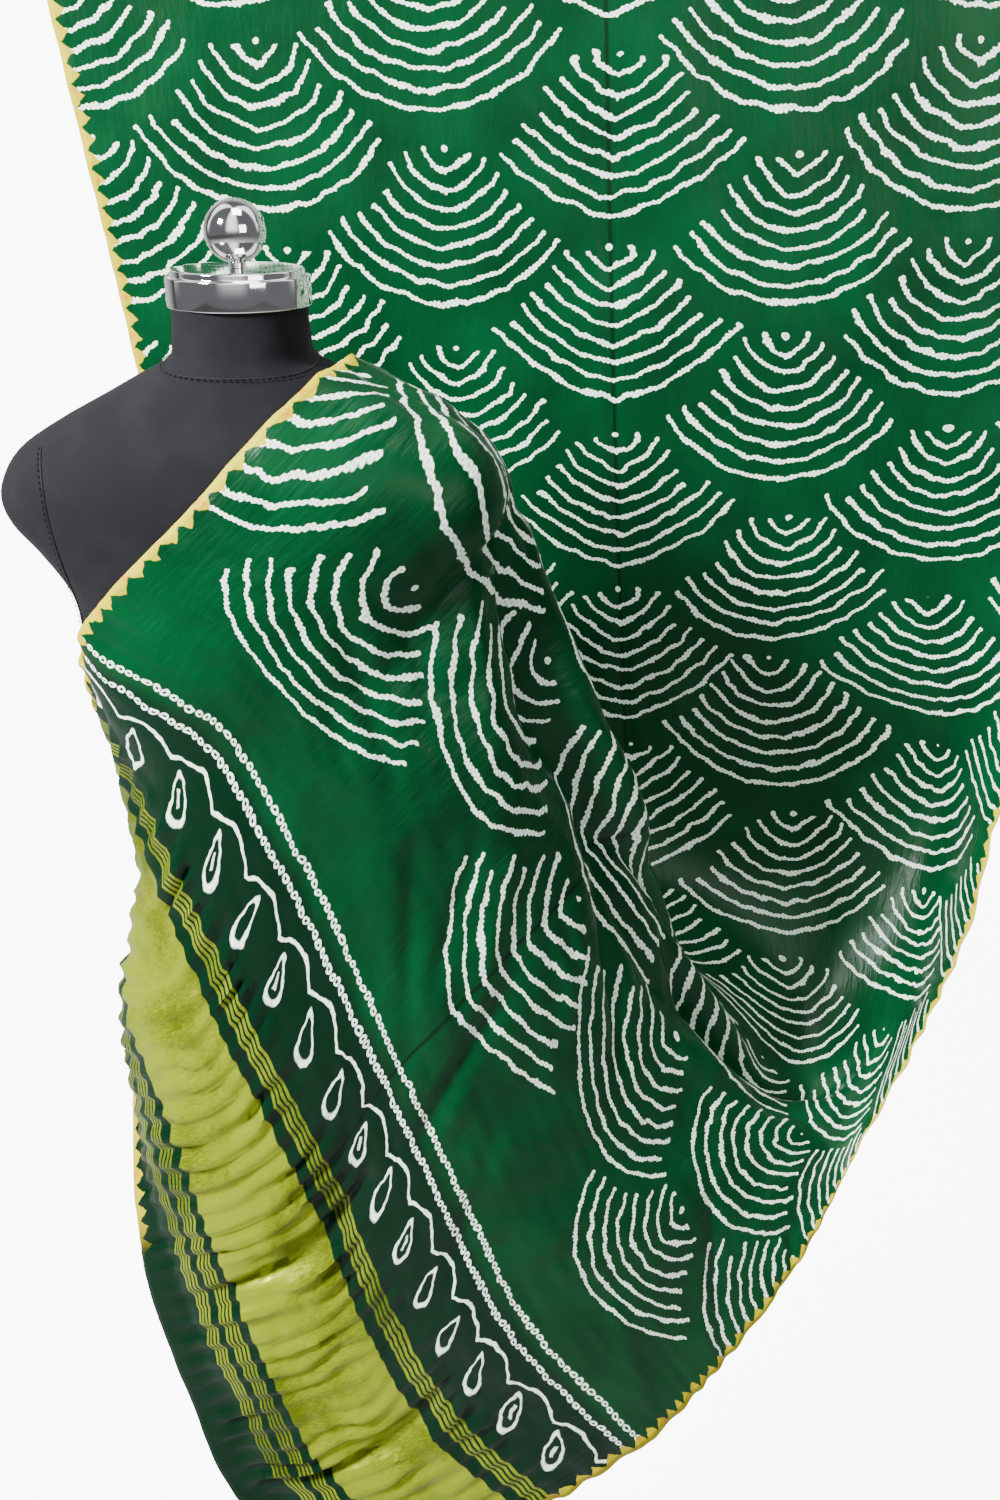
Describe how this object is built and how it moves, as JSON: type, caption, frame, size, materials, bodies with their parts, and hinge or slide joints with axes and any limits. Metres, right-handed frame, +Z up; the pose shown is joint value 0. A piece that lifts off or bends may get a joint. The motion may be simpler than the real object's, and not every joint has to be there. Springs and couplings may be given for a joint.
{
  "type": "bandhani cloth on a display bust",
  "caption": "Tie-dyed silk cloth with a tooth edge, hung from its top edge and draped over the shoulder of a black display bust with a metal neck cap and ball.",
  "frame": {"origin": "middle of the cloth's top edge", "axes": "+Z up; -Y towards the front, where the bust stands; +X to the right as seen from the front"},
  "size_m": [1.0965, 0.4461, 1.7001],
  "materials": {
    "silk": "satin",
    "bust_cover": "matte",
    "metal": "polished"
  },
  "bodies": {
    "root": {"bandhani_cloth": "silk", "bust_form": "bust_cover", "neck_cap": "metal", "ball_finial": "metal"}
  },
  "joints": []
}
